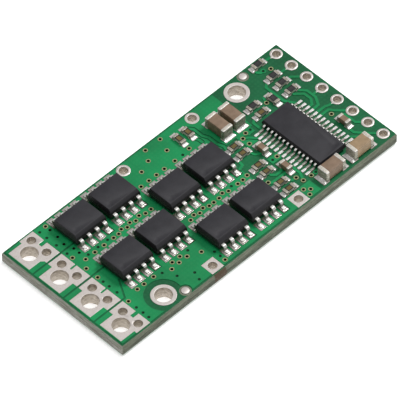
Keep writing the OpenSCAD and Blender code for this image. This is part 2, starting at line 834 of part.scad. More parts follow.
// Section of a lead: out of the body, down, and out again as a foot
module gull_wing(reach, shoulder, t, bend, leg) {
    outer = bend + t;
    top = shoulder + t / 2;
    translate([0, top - t]) square([leg - bend, t]);
    translate([leg - bend, top - outer]) intersection() {
        difference() {
            circle(outer);
            circle(bend);
        }
        square(outer);
    }
    translate([leg, outer]) square([t, top - 2 * outer]);
    translate([leg + t + bend, outer]) intersection() {
        difference() {
            circle(outer);
            circle(bend);
        }
        translate([-outer, -outer]) square(outer);
    }
    translate([leg + t + bend, 0]) square([reach - leg - t - bend, t]);
}

fet_shoulder = (fet_h + fet_standoff) / 2;
driver_shoulder = (driver_h + driver_standoff) / 2;

module transistor(i) {
    p = fet_places[i];
    color([0.2, 0.2, 0.21]) translate([p[0], p[1], land_z]) difference() {
        intersection() {
            translate([0, fet_w / 2, 0]) rotate([90, 0, 0]) linear_extrude(fet_w) {
                moulded_section(fet_l / 2, fet_standoff, fet_h, fet_shoulder, fet_t, fet_draft, 0);
            }
            translate([-fet_l / 2, 0, 0]) rotate([90, 0, 90]) linear_extrude(fet_l) {
                moulded_section(fet_w / 2, fet_standoff, fet_h, fet_shoulder, fet_t, fet_draft, fet_bevel);
            }
        }
        translate([-fet_l / 2 + fet_dimple_x, -fet_w / 2 + fet_dimple_y, fet_h - fet_dimple]) {
            cylinder(h = fet_dimple + through, r = fet_dimple_r);
        }
    }
}

module transistor_leads(i) {
    p = fet_places[i];
    color([0.85, 0.84, 0.82]) translate([p[0], p[1], land_z]) {
        for (side = [0, 180], k = [0:3]) rotate(side) {
            translate([(k - 1.5) * fet_pitch + fet_lead_w / 2, fet_w / 2, 0]) {
                rotate([90, 0, -90]) mirror([1, 0, 0]) linear_extrude(fet_lead_w) {
                    gull_wing(fet_reach, fet_shoulder, fet_t, fet_bend, fet_leg);
                }
            }
        }
    }
}

// Wedge of solder in front of a foot or an end cap
module fillet(run, height, w) {
    translate([w / 2, 0, 0]) rotate([90, 0, -90]) mirror([1, 0, 0]) {
        linear_extrude(w) polygon([[0, 0], [run, 0], [run * 0.4, height * 0.35], [0, height]]);
    }
}

module transistor_solder() {
    tinned() for (p = fet_places, side = [0, 180], k = [0:3]) {
        translate([p[0], p[1], land_z]) rotate(side) translate([(k - 1.5) * fet_pitch, fet_span / 2, 0]) {
            fillet(land_toe * 0.9, fet_t * 0.8, fet_lead_w + 2 * fet_solder_side);
        }
    }
}

module driver_section(half) {
    moulded_section(half, driver_standoff, driver_h, driver_shoulder, driver_t, driver_draft, 0);
}

module driver_chip() {
    color([0.2, 0.2, 0.21]) translate([from_right(driver_x), driver_y, land_z]) difference() {
        intersection() {
            translate([0, driver_l / 2, 0]) rotate([90, 0, 0]) linear_extrude(driver_l) {
                driver_section(driver_w / 2);
            }
            translate([-driver_w / 2, 0, 0]) rotate([90, 0, 90]) linear_extrude(driver_w) {
                driver_section(driver_l / 2);
            }
        }
        translate([driver_w / 2 - driver_dimple_in, -driver_l / 2 + driver_dimple_in, 0]) {
            translate([0, 0, driver_h - fet_dimple]) cylinder(h = fet_dimple + through, r = driver_dimple_r);
        }
    }
}

module driver_chip_leads() {
    color([0.85, 0.84, 0.82]) translate([from_right(driver_x), driver_y, land_z]) {
        for (side = [90, -90], k = [0:driver_n - 1]) rotate(side) {
            translate([(k - (driver_n - 1) / 2) * driver_pitch + driver_lead_w / 2, driver_w / 2, 0]) {
                rotate([90, 0, -90]) mirror([1, 0, 0]) linear_extrude(driver_lead_w) {
                    gull_wing(driver_reach, driver_shoulder, driver_t, driver_bend, driver_leg);
                }
            }
        }
    }
}

module driver_solder() {
    tinned() translate([from_right(driver_x), driver_y, land_z]) {
        for (side = [90, -90], k = [0:driver_n - 1]) rotate(side) {
            translate([(k - (driver_n - 1) / 2) * driver_pitch, driver_span / 2, 0]) {
                fillet(driver_toe * 0.8, driver_t * 0.8, driver_lead_w + 2 * driver_solder_side);
            }
        }
    }
}

// Chip capacitors and resistors

module seat(p) {
    translate([p[0], p[1], land_z]) rotate(p[2]) children();
}

// Ceramic block, which the end caps wrap
module ceramic(l, w, h) {
    translate([-l / 2 + end_t, -w / 2 + end_t, end_t]) cube([l - 2 * end_t, w - 2 * end_t, h - 2 * end_t]);
}

// Two caps with rounded edges around the ceramic block's ends
module end_caps(l, w, h, end_l, r) {
    difference() {
        intersection() {
            linear_extrude(h) round_rect(l, w, r);
            translate([0, w / 2, h / 2]) rotate([90, 0, 0]) linear_extrude(w) round_rect(l, h, r);
            union() {
                translate([-l / 2, -w / 2, 0]) cube([end_l, w, h]);
                translate([l / 2 - end_l, -w / 2, 0]) cube([end_l, w, h]);
            }
        }
        ceramic(l, w, h);
    }
}

module bulk_capacitor(i) {
    color(i == 3 ? [0.66, 0.52, 0.4] : [0.58, 0.45, 0.36]) {
        seat(bulk_at[i]) ceramic(bulk_l, bulk_w, bulk_h);
    }
}

module bulk_capacitor_ends() {
    color([0.82, 0.8, 0.77]) for (p = bulk_at) seat(p) {
        end_caps(bulk_l, bulk_w, bulk_h, bulk_end_l, bulk_round);
    }
}

module bypass_capacitors() {
    color([0.58, 0.45, 0.36]) for (p = bypass_at) seat(p) ceramic(chip_l, chip_w, chip_cap_h);
}

module bypass_capacitor_ends() {
    color([0.82, 0.8, 0.77]) for (p = bypass_at) seat(p) {
        end_caps(chip_l, chip_w, chip_cap_h, chip_end_l, end_t * 1.2);
    }
}

// Alumina block of a resistor, between its wrapped ends and below its film
module resistor_block() {
    translate([-chip_l / 2 + end_t, -chip_w / 2, end_t]) {
        cube([chip_l - 2 * end_t, chip_w, chip_res_h - end_t - film_t]);
    }
}

module resistor_film() {
    translate([-chip_l / 2 + chip_end_l, -chip_w / 2, chip_res_h - film_t]) {
        cube([chip_l - 2 * chip_end_l, chip_w, film_t]);
    }
}

// Metal that wraps each end of a resistor: top, end and bottom
module resistor_ends() {
    translate([0, chip_w / 2, 0]) rotate([90, 0, 0]) linear_extrude(chip_w) {
        for (s = [0, 1]) mirror([s, 0]) difference() {
            translate([-chip_l / 2, 0]) square([chip_end_l, chip_res_h]);
            translate([-chip_l / 2 + end_t, end_t]) square([chip_l, chip_res_h - end_t - film_t]);
        }
    }
}

module gate_resistors() {
    color([0.85, 0.83, 0.78]) for (p = gate_at) seat(p) resistor_block();
}

module gate_resistor_film() {
    color([0.55, 0.45, 0.2]) for (p = gate_at) seat(p) resistor_film();
}

module gate_resistor_ends() {
    color([0.82, 0.8, 0.77]) for (p = gate_at) seat(p) resistor_ends();
}

module signal_resistors() {
    color([0.85, 0.83, 0.78]) for (p = signal_at) seat(p) resistor_block();
}

module signal_resistor_film() {
    color([0.15, 0.15, 0.15]) for (p = signal_at) seat(p) resistor_film();
}

module signal_resistor_ends() {
    color([0.82, 0.8, 0.77]) for (p = signal_at) seat(p) resistor_ends();
}

module chip_solder() {
    tinned() {
        for (p = bulk_at, side = [90, -90]) seat(p) rotate(side) translate([0, bulk_l / 2, 0]) {
            fillet(bulk_toe * 0.9, bulk_h * 0.3, bulk_w - 2 * bulk_solder_in);
        }
        for (p = concat(bypass_at, gate_at, signal_at), side = [90, -90]) seat(p) rotate(side) {
            translate([0, chip_l / 2, 0]) {
                fillet(chip_toe * 0.85, chip_res_h * 0.6, chip_w - 2 * chip_solder_in);
            }
        }
    }
}

laminate();
top_copper();
bottom_copper();
top_mask();
bottom_mask();
power_pad(0);  // power_pad_1
power_pad(1);  // power_pad_2
power_pad(2);  // power_pad_3
power_pad(3);  // power_pad_4
header_pads();
mounting_rings();
capacitor_pads();
vias();
fiducials();
transistor_lands();
driver_lands();
chip_lands();
transistor(0);  // transistor_1
transistor(1);  // transistor_2
transistor(2);  // transistor_3
transistor(3);  // transistor_4
transistor(4);  // transistor_5
transistor(5);  // transistor_6
transistor(6);  // transistor_7
transistor(7);  // transistor_8
transistor_leads(0);  // transistor_1_leads
transistor_leads(1);  // transistor_2_leads
transistor_leads(2);  // transistor_3_leads
transistor_leads(3);  // transistor_4_leads
transistor_leads(4);  // transistor_5_leads
transistor_leads(5);  // transistor_6_leads
transistor_leads(6);  // transistor_7_leads
transistor_leads(7);  // transistor_8_leads
transistor_solder();
driver_chip();
driver_chip_leads();
driver_solder();
bulk_capacitor(0);  // bulk_capacitor_1
bulk_capacitor(1);  // bulk_capacitor_2
bulk_capacitor(2);  // bulk_capacitor_3
bulk_capacitor(3);  // bulk_capacitor_4
bulk_capacitor_ends();
bypass_capacitors();
bypass_capacitor_ends();
gate_resistors();
gate_resistor_film();
gate_resistor_ends();
signal_resistors();
signal_resistor_film();
signal_resistor_ends();
chip_solder();
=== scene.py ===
import math

import bmesh
import bpy
from mathutils import Matrix, Vector
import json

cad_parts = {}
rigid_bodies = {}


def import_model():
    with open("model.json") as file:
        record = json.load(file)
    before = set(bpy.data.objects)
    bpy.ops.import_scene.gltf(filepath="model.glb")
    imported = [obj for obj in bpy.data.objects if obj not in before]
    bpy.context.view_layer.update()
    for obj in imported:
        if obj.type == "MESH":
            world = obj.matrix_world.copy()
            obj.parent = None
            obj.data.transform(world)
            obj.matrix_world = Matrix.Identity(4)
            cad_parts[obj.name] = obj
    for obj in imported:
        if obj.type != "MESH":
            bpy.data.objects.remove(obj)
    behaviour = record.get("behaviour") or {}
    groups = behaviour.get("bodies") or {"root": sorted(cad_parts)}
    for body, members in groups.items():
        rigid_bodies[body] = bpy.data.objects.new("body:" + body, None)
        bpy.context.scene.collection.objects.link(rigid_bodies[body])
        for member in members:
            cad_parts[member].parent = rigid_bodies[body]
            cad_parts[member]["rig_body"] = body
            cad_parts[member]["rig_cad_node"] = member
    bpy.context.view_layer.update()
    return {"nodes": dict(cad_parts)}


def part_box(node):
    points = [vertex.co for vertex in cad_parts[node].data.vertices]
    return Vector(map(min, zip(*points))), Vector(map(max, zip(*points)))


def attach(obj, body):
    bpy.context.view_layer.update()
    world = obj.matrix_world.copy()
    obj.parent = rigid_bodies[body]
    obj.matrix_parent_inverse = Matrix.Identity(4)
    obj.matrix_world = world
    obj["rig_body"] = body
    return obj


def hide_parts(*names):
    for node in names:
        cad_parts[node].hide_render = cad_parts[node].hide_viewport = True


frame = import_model()
mm = 0.001

# camera on the photo's view; the board lies flat, X along it, and the power pads are at -X
cameraFacts = {
    "target": (-0.839 * mm, -0.753 * mm, 1.78 * mm),
    "distance": 883.07 * mm,
    "azimuth": -44.196,
    "elevation": 49.983,
    "roll": -0.9045,
    "lens": 677.63,
}


# small helpers


def deselectAll():
    if bpy.context.mode != "OBJECT":
        bpy.ops.object.mode_set(mode="OBJECT")
    bpy.ops.object.select_all(action="DESELECT")


def makeActive(piece):
    deselectAll()
    piece.select_set(True)
    bpy.context.view_layer.objects.active = piece


def editMode(piece, kind="FACE"):
    makeActive(piece)
    bpy.ops.object.mode_set(mode="EDIT")
    bpy.ops.mesh.select_mode(type=kind)
    bpy.ops.mesh.select_all(action="DESELECT")


def objectMode():
    bpy.ops.object.mode_set(mode="OBJECT")


def applyPlace():
    bpy.ops.object.transform_apply(location=True, rotation=True, scale=True)


def startCube(name, size, centre):
    deselectAll()
    bpy.ops.mesh.primitive_cube_add(size=1, location=centre, scale=size)
    applyPlace()
    piece = bpy.context.active_object
    piece.name = name
    return piece


def startGrid(name, size, centre, columns, rows):
    deselectAll()
    bpy.ops.mesh.primitive_grid_add(
        x_subdivisions=columns, y_subdivisions=rows, size=1, location=centre
    )
    piece = bpy.context.active_object
    piece.name = name
    piece.scale = (size[0], size[1], 1)
    applyPlace()
    return piece


def pickFaces(piece, test):
    cage = bmesh.from_edit_mesh(piece.data)
    for face in cage.faces:
        face.select_set(bool(test(face.calc_center_median(), face.normal)))
    cage.select_flush(True)
    bmesh.update_edit_mesh(piece.data)


def pickEdges(piece, test):
    cage = bmesh.from_edit_mesh(piece.data)
    for edge in cage.edges:
        edge.select_set(bool(test((edge.verts[0].co + edge.verts[1].co) / 2)))
    cage.select_flush_mode()
    bmesh.update_edit_mesh(piece.data)


def pickPoints(piece, test):
    cage = bmesh.from_edit_mesh(piece.data)
    for point in cage.verts:
        point.select_set(bool(test(point.co)))
    cage.select_flush_mode()
    bmesh.update_edit_mesh(piece.data)


def softenEdges(piece, width, segments=2, angle=30):
    makeActive(piece)
    soft = piece.modifiers.new("softEdges", "BEVEL")
    soft.width = width
    soft.segments = segments
    soft.limit_method = "ANGLE"
    soft.angle_limit = math.radians(angle)
    bpy.ops.object.modifier_apply(modifier="softEdges")


def smoothByAngle(piece, angle=40):
    makeActive(piece)
    bpy.ops.object.shade_smooth_by_angle(angle=math.radians(angle))


def copyTo(piece, name, move):
    made = piece.copy()
    made.data = piece.data.copy()
    made.name = name
    made.data.name = name
    bpy.context.scene.collection.objects.link(made)
    made.data.transform(move)
    return made


def joinAs(name, pieces):
    deselectAll()
    for piece in pieces:
        piece.select_set(True)
    bpy.context.view_layer.objects.active = pieces[0]
    if len(pieces) > 1:
        bpy.ops.object.join()
    joined = bpy.context.active_object
    joined.name = name
    joined.data.name = name
    return joined


def discard(piece):
    bpy.data.objects.remove(piece, do_unlink=True)


def turnedTo(x, y, z, degrees):
    return Matrix.Translation((x, y, z)) @ Matrix.Rotation(math.radians(degrees), 4, "Z")


def looseBoxes(nodeName):
    # lowest and highest corner of each separate solid in a CAD node
    cage = bmesh.new()
    cage.from_mesh(frame["nodes"][nodeName].data)
    bmesh.ops.remove_doubles(cage, verts=cage.verts, dist=0.001 * mm)
    boxes = []
    seen = set()
    for first in cage.verts:
        if first in seen:
            continue
        seen.add(first)
        island = [first]
        for point in island:
            for edge in point.link_edges:
                other = edge.other_vert(point)
                if other not in seen:
                    seen.add(other)
                    island.append(other)
        low = Vector([min(point.co[i] for point in island) for i in range(3)])
        high = Vector([max(point.co[i] for point in island) for i in range(3)])
        boxes.append((low, high))
    cage.free()
    return boxes


def middle(box):
    return (box[0] + box[1]) / 2


def give(piece, material, *more):
    piece.data.materials.clear()
    for one in (material,) + more:
        piece.data.materials.append(one)


def finishPiece(piece, slotName, *nodeNames):
    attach(piece, "root")
    if nodeNames:
        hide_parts(*nodeNames)


# material helpers


def rgb(red, green, blue):
    # screen colour to the shader's own values
    return tuple(
        (part / 255 / 12.92 if part <= 10 else ((part / 255 + 0.055) / 1.055) ** 2.4)
        for part in (red, green, blue)
    ) + (1.0,)


def newMaterial(name, **fixed):
    material = bpy.data.materials.new(name)
    material.use_nodes = True
    shader = material.node_tree.nodes["Principled BSDF"]
    for socketName, value in fixed.items():
        shader.inputs[socketName.replace("_", " ")].default_value = value
    return material, material.node_tree, shader


def addNode(tree, kind, **settings):
    made = tree.nodes.new(kind)
    for key, value in settings.items():
        setattr(made, key, value)
    return made


def feed(tree, socket, value):
    if isinstance(value, bpy.types.NodeSocket):
        tree.links.new(value, socket)
    else:
        socket.default_value = value


def mmCoords(tree, stretch=(1, 1, 1), turn=(0, 0, 0)):
    # object coordinates in millimetres
    coords = addNode(tree, "ShaderNodeTexCoord")
    mapping = addNode(tree, "ShaderNodeMapping")
    mapping.inputs["Scale"].default_value = [part / mm for part in stretch]
    mapping.inputs["Rotation"].default_value = [math.radians(part) for part in turn]
    tree.links.new(coords.outputs["Object"], mapping.inputs["Vector"])
    return mapping.outputs["Vector"]


def noise(tree, coords, scale, detail=3.0, roughness=0.5):
    made = addNode(tree, "ShaderNodeTexNoise")
    made.inputs["Scale"].default_value = scale
    made.inputs["Detail"].default_value = detail
    made.inputs["Roughness"].default_value = roughness
    tree.links.new(coords, made.inputs["Vector"])
    return made.outputs["Fac"]


def cells(tree, coords, scale):
    made = addNode(tree, "ShaderNodeTexVoronoi")
    made.inputs["Scale"].default_value = scale
    tree.links.new(coords, made.inputs["Vector"])
    return made.outputs["Distance"]


def waves(tree, coords, scale, along, distortion=0.4):
    made = addNode(tree, "ShaderNodeTexWave", bands_direction=along)
    made.inputs["Scale"].default_value = scale
    made.inputs["Distortion"].default_value = distortion
    made.inputs["Detail"].default_value = 1.0
    tree.links.new(coords, made.inputs["Vector"])
    return made.outputs["Fac"]


def calc(tree, operation, first, second=0.0):
    made = addNode(tree, "ShaderNodeMath", operation=operation)
    feed(tree, made.inputs[0], first)
    feed(tree, made.inputs[1], second)
    return made.outputs["Value"]


def ramp(tree, value, low, high, toLow=0.0, toHigh=1.0):
    made = addNode(tree, "ShaderNodeMapRange")
    feed(tree, made.inputs["Value"], value)
    made.inputs["From Min"].default_value = low
    made.inputs["From Max"].default_value = high
    made.inputs["To Min"].default_value = toLow
    made.inputs["To Max"].default_value = toHigh
    return made.outputs["Result"]


def mix(tree, factor, first, second, blend="MIX"):
    made = addNode(tree, "ShaderNodeMix", data_type="RGBA", blend_type=blend)
    feed(tree, made.inputs[0], factor)
    feed(tree, made.inputs[6], first)
    feed(tree, made.inputs[7], second)
    return made.outputs[2]


def splitAxes(tree, coords):
    made = addNode(tree, "ShaderNodeSeparateXYZ")
    tree.links.new(coords, made.inputs["Vector"])
    return made.outputs["X"], made.outputs["Y"], made.outputs["Z"]


def faceNormal(tree):
    coords = addNode(tree, "ShaderNodeTexCoord")
    return splitAxes(tree, coords.outputs["Normal"])


def bump(tree, shader, height, depth, strength=1.0):
    made = addNode(tree, "ShaderNodeBump")
    made.inputs["Strength"].default_value = strength
    made.inputs["Distance"].default_value = depth
    tree.links.new(height, made.inputs["Height"])
    tree.links.new(made.outputs["Normal"], shader.inputs["Normal"])


# finishes


maskLook = {
    "overCopper": rgb(10, 156, 90),
    "overLaminate": rgb(8, 112, 66),
    "boardMiddle": 0.91,  # height of the laminate's middle
    "bareStep": 0.835,
    "copperStep": 0.885,
    "gloss": 0.45,
}
# painted shade: a darker, duller green for the mask sunk into the covered vias, standing for the shade in
# the dip
viaShadeMaskLook = dict(maskLook, overCopper=rgb(4, 74, 40), overLaminate=rgb(4, 58, 32), gloss=0.2)


def makeMaskFinish(name, look):
    material, tree, shader = newMaterial(name, Specular_IOR_Level=look["gloss"])
    coords = mmCoords(tree)
    height = splitAxes(tree, coords)[2]
    fromMiddle = calc(tree, "ABSOLUTE", calc(tree, "SUBTRACT", height, look["boardMiddle"]))
    overCopper = ramp(tree, fromMiddle, look["bareStep"], look["copperStep"])
    green = mix(tree, overCopper, look["overLaminate"], look["overCopper"])
    cloud = ramp(tree, noise(tree, coords, 0.22, 4.0), 0.3, 0.7, 0.0, 1.0)
    shifted = mix(tree, cloud, rgb(205, 205, 205), rgb(255, 255, 255))
    green = mix(tree, 1.0, green, shifted, "MULTIPLY")
    weave = calc(tree, "MULTIPLY", waves(tree, coords, 0.62, "X"), waves(tree, coords, 0.62, "Y"))
    green = mix(tree, ramp(tree, weave, 0.0, 1.0, 0.0, 0.05), green, rgb(90, 190, 120))
    tree.links.new(green, shader.inputs["Base Color"])
    speck = noise(tree, coords, 9.0, 2.0)
    tree.links.new(ramp(tree, speck, 0.3, 0.7, 0.3, 0.42), shader.inputs["Roughness"])
    relief = calc(tree, "ADD", calc(tree, "MULTIPLY", weave, 0.4), calc(tree, "MULTIPLY", speck, 0.3))
    bump(tree, shader, relief, 0.006 * mm, 0.5)
    return material


def makeLaminateFinish():
    look = {
        "olive": rgb(62, 70, 52),
        "pale": rgb(114, 118, 102),
        "grey": rgb(174, 174, 166),
        "greyDark": rgb(122, 118, 108),
        "broken": rgb(84, 62, 44),
        "brokenFrom": -7.7,
        "brokenTo": -5.8,
        "nearWall": -9.85,
        "grooveHeight": 1.21,
    }
    material, tree, shader = newMaterial("scoredLaminate", Specular_IOR_Level=0.3)
    coords = mmCoords(tree)
    x, y, z = splitAxes(tree, coords)
    layers = noise(tree, mmCoords(tree, (0.55, 0.55, 9.0)), 1.0, 5.0, 0.6)
    fibres = noise(tree, mmCoords(tree, (3.0, 3.0, 16.0)), 1.0, 3.0, 0.7)
    wall = mix(tree, ramp(tree, layers, 0.42, 0.6), look["olive"], look["pale"])
    leftWall = ramp(tree, faceNormal(tree)[0], -0.5, -0.8)
    leftTone = mix(tree, ramp(tree, layers, 0.42, 0.6), look["greyDark"], look["grey"])
    wall = mix(tree, leftWall, wall, leftTone)
    slope = ramp(tree, z, look["grooveHeight"] - 0.03, look["grooveHeight"] + 0.03)
    wall = mix(tree, calc(tree, "MULTIPLY", slope, 0.35), wall, rgb(158, 164, 144))
    wall = mix(tree, ramp(tree, fibres, 0.45, 0.75, 0.0, 0.5), wall, rgb(66, 70, 52))
    wobble = ramp(tree, noise(tree, coords, 3.0), 0.0, 1.0, -0.25, 0.25)
    along = calc(tree, "ADD", x, wobble)
    inside = calc(
        tree,
        "MULTIPLY",
        ramp(tree, along, look["brokenFrom"] - 0.08, look["brokenFrom"] + 0.08),
        ramp(tree, along, look["brokenTo"] + 0.08, look["brokenTo"] - 0.08),
    )
    inside = calc(tree, "MULTIPLY", inside, ramp(tree, y, look["nearWall"] + 0.02, look["nearWall"]))
    wall = mix(tree, calc(tree, "MULTIPLY", inside, 0.85), wall, look["broken"])
    tree.links.new(wall, shader.inputs["Base Color"])
    tree.links.new(ramp(tree, fibres, 0.3, 0.7, 0.55, 0.8), shader.inputs["Roughness"])
    relief = calc(tree, "ADD", fibres, calc(tree, "MULTIPLY", inside, noise(tree, coords, 7.0)))
    bump(tree, shader, relief, 0.05 * mm, 0.8)
    return material


def makeCopperFinish():
    material, tree, shader = newMaterial("copperFoil", Metallic=0.9)
    coords = mmCoords(tree)
    patch = noise(tree, coords, 1.5, 4.0)
    tree.links.new(
        mix(tree, ramp(tree, patch, 0.35, 0.65), rgb(184, 116, 76), rgb(122, 74, 50)),
        shader.inputs["Base Color"],
    )
    tree.links.new(ramp(tree, patch, 0.3, 0.7, 0.3, 0.5), shader.inputs["Roughness"])
    bump(tree, shader, noise(tree, coords, 30.0), 0.004 * mm, 0.5)
    return material


def makeTinFinish(name, look):
    # levelled tin on a pad: mottled face; upright faces, such as the dull brown wall down the hole, take
    # darker wall colours as painted shade
    material, tree, shader = newMaterial(name, Metallic=look["metal"])
    coords = mmCoords(tree)
    patch = ramp(tree, noise(tree, coords, look["patchScale"], 5.0, 0.6), 0.35, 0.65)
    face = mix(tree, patch, look["light"], look["dark"])
    speck = ramp(tree, cells(tree, coords, look["speckScale"]), 0.05, 0.3)
    face = mix(tree, calc(tree, "MULTIPLY", calc(tree, "SUBTRACT", 1.0, speck), 0.25), face, look["stain"])
    # painted shade: upright faces take the darker wall colours
    upright = ramp(tree, calc(tree, "ABSOLUTE", faceNormal(tree)[2]), 0.45, 0.25)
    streaks = noise(tree, mmCoords(tree, (2.0, 2.0, 5.0)), 1.0, 3.0)
    wall = mix(tree, ramp(tree, streaks, 0.35, 0.65), look["shadedWallLight"], look["shadedWallDark"])
    tilt = calc(tree, "ABSOLUTE", faceNormal(tree)[2])
    # painted highlight: the tilted rim round a pad is lifted towards near white
    rim = calc(tree, "MULTIPLY", ramp(tree, tilt, 0.985, 0.9), look["rimHighlightShare"])
    face = mix(tree, rim, face, look["rim"])
    shade = mix(tree, upright, face, wall)
    if look["footShare"]:
        height = splitAxes(tree, coords)[2]
        low = ramp(tree, height, look["footTop"] + 0.1, look["footTop"])
        shade = mix(tree, calc(tree, "MULTIPLY", low, look["footShare"]), shade, look["foot"])
    tree.links.new(shade, shader.inputs["Base Color"])
    tree.links.new(ramp(tree, patch, 0.0, 1.0, look["smooth"], look["rough"]), shader.inputs["Roughness"])
    bump(tree, shader, noise(tree, coords, look["bumpScale"], 3.0), look["bumpDepth"], 0.6)
    return material


tinLook = {
    "metal": 0.45,
    "light": rgb(234, 226, 221),
    "dark": rgb(212, 203, 197),
    "stain": rgb(168, 156, 148),
    # painted shade: the wall colours darken upright faces
    "shadedWallLight": rgb(214, 206, 195),
    "shadedWallDark": rgb(172, 162, 148),
    # painted highlight on the pads' rims
    "rim": rgb(252, 248, 246),
    "rimHighlightShare": 0.85,
    "footShare": 0.0,
    "patchScale": 1.6,
    "speckScale": 3.2,
    "smooth": 0.34,
    "rough": 0.5,
    "bumpScale": 2.2,
    "bumpDepth": 0.03 * mm,
}
eyeletLook = dict(tinLook, shadedWallLight=rgb(220, 212, 200), shadedWallDark=rgb(188, 179, 166))
# painted shade: bare lands beside the bodies get a dark olive grey for the bodies' shadow and dark
# reflection
shadedLandLook = dict(
    tinLook,
    rimHighlightShare=0.0,
    light=rgb(122, 126, 106),
    dark=rgb(86, 96, 76),
    stain=rgb(70, 78, 60),
)
viaLook = dict(
    tinLook,
    metal=0.15,
    rimHighlightShare=0.0,
    light=rgb(174, 178, 134),
    dark=rgb(142, 152, 106),
    stain=rgb(112, 120, 80),
    # painted shade: the via's wall is near black for the dark inside the narrow hole
    shadedWallLight=rgb(90, 80, 62),
    shadedWallDark=rgb(50, 44, 34),
)
solderLook = dict(
    tinLook,
    metal=0.55,
    rimHighlightShare=0.0,
    light=rgb(228, 223, 216),
    dark=rgb(184, 178, 170),
    stain=rgb(120, 116, 106),
    patchScale=3.0,
    smooth=0.14,
    rough=0.34,
    bumpScale=4.0,
    bumpDepth=0.05 * mm,
    shadedWallLight=rgb(214, 210, 204),
    shadedWallDark=rgb(150, 146, 140),
)
leadLook = dict(
    solderLook,
    metal=0.4,
    light=rgb(230, 228, 224),
    dark=rgb(200, 198, 194),
    smooth=0.32,
    rough=0.45,
    bumpScale=9.0,
    bumpDepth=0.012 * mm,
    # painted shade: the leads' upright faces are darker than the top
    shadedWallLight=rgb(186, 182, 174),
    shadedWallDark=rgb(130, 126, 118),
)
fineLeadLook = dict(
    leadLook,
    metal=0.25,
    light=rgb(255, 254, 250),
    dark=rgb(238, 236, 230),
    # painted shade: the legs' upright faces are dark grey for their shade and dark reflection
    shadedWallLight=rgb(112, 110, 104),
    shadedWallDark=rgb(64, 62, 58),
    footShare=0.8,  # the foot is darker below footTop
    footTop=2.03,
    foot=rgb(140, 138, 128),
)
fineSolderLook = dict(
    solderLook,
    metal=0.3,
    light=rgb(255, 252, 251),
    dark=rgb(236, 231, 229),
    smooth=0.24,
    rough=0.4,
)
chipSolderLook = dict(
    solderLook,
    metal=0.5,
    light=rgb(250, 247, 244),
    dark=rgb(216, 212, 207),
    smooth=0.2,
    rough=0.4,
)
endLook = dict(
    tinLook,
    metal=0.35,
    light=rgb(224, 219, 208),
    dark=rgb(188, 182, 168),
    stain=rgb(132, 124, 108),
    patchScale=3.5,
    speckScale=6.0,
    smooth=0.4,
    rough=0.62,
    bumpScale=6.0,
    bumpDepth=0.05 * mm,
    # painted shade: the caps' upright faces are darker than the top
    shadedWallLight=rgb(192, 188, 174),
    shadedWallDark=rgb(138, 132, 118),
)
resistorEndLook = dict(
    endLook,
    light=rgb(192, 184, 170),
    dark=rgb(142, 134, 118),
)


def makeMouldingFinish():
    look = {
        "top": rgb(41, 40, 45),
        "worn": rgb(51, 50, 55),
        # bevel and wall are painted shade on the tilted band and the upright sides
        "bevel": rgb(33, 32, 36),
        "wall": rgb(26, 24, 26),
        "parting": rgb(60, 56, 54),
        "grainScale": 14.0,
    }
    material, tree, shader = newMaterial("mouldedEpoxy", Specular_IOR_Level=0.4)
    coords = mmCoords(tree)
    grain = noise(tree, coords, look["grainScale"], 4.0, 0.7)
    cloud = noise(tree, coords, 0.8, 3.0)
    shade = mix(tree, ramp(tree, cloud, 0.3, 0.7), look["top"], look["worn"])
    shade = mix(tree, ramp(tree, grain, 0.55, 0.8, 0.0, 0.35), shade, rgb(92, 91, 94))
    tilt = calc(tree, "ABSOLUTE", faceNormal(tree)[2])
    # painted shade: the tilted bevel band is darker
    shade = mix(tree, ramp(tree, tilt, 0.93, 0.8), shade, look["bevel"])
    # painted shade: the side walls are near black
    shade = mix(tree, ramp(tree, tilt, 0.5, 0.3), shade, look["wall"])
    shade = mix(tree, ramp(tree, tilt, 0.08, 0.03), shade, look["parting"])
    tree.links.new(shade, shader.inputs["Base Color"])
    tree.links.new(ramp(tree, grain, 0.3, 0.7, 0.5, 0.68), shader.inputs["Roughness"])
    bump(tree, shader, grain, 0.02 * mm, 0.5)
    return material


def makeCeramicFinish(name, base, deep, speckle):
    material, tree, shader = newMaterial(name, Specular_IOR_Level=0.4)
    coords = mmCoords(tree)
    cloud = noise(tree, coords, 1.4, 4.0)
    dots = noise(tree, coords, 11.0, 3.0, 0.7)
    shade = mix(tree, ramp(tree, cloud, 0.35, 0.65), base, deep)
    shade = mix(tree, ramp(tree, dots, 0.58, 0.78, 0.0, 0.5), shade, speckle)
    tree.links.new(shade, shader.inputs["Base Color"])
    tree.links.new(ramp(tree, dots, 0.3, 0.7, 0.42, 0.6), shader.inputs["Roughness"])
    bump(tree, shader, dots, 0.015 * mm, 0.5)
    return material


def makeFloorFinish():
    material, tree, shader = newMaterial("paleTable", Roughness=0.9, Emission_Strength=0.5)
    coords = addNode(tree, "ShaderNodeTexCoord")
    cloud = noise(tree, coords.outputs["Object"], 3.0, 2.0)
    white = mix(tree, ramp(tree, cloud, 0.3, 0.7), rgb(248, 248, 247), rgb(252, 252, 252))
    tree.links.new(white, shader.inputs["Base Color"])
    shader.inputs["Emission Color"].default_value = (1, 1, 1, 1)
    return material


